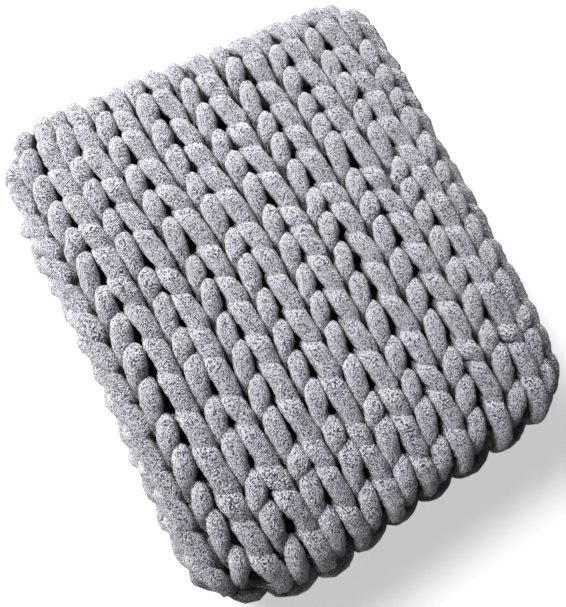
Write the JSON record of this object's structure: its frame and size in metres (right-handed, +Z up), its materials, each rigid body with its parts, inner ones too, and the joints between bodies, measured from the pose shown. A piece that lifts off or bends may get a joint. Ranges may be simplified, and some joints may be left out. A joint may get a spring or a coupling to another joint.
{
  "type": "folded chunky knit blanket",
  "caption": "Thick knitted blanket in plain stockinette, folded back and forth into a soft rectangular pile with its stitch columns running lengthwise.",
  "frame": {"origin": "centre of the pile's footprint, on the surface that it lies on", "axes": "+Z up; +Y along the stitch columns, towards the two folds that show the knit side; +X across the stitch columns, to the right when looking along +Y"},
  "size_m": [0.3762, 0.4604, 0.1311],
  "materials": {
    "yarn": "soft matt chenille pile"
  },
  "bodies": {
    "root": {"blanket": "yarn"}
  },
  "joints": []
}
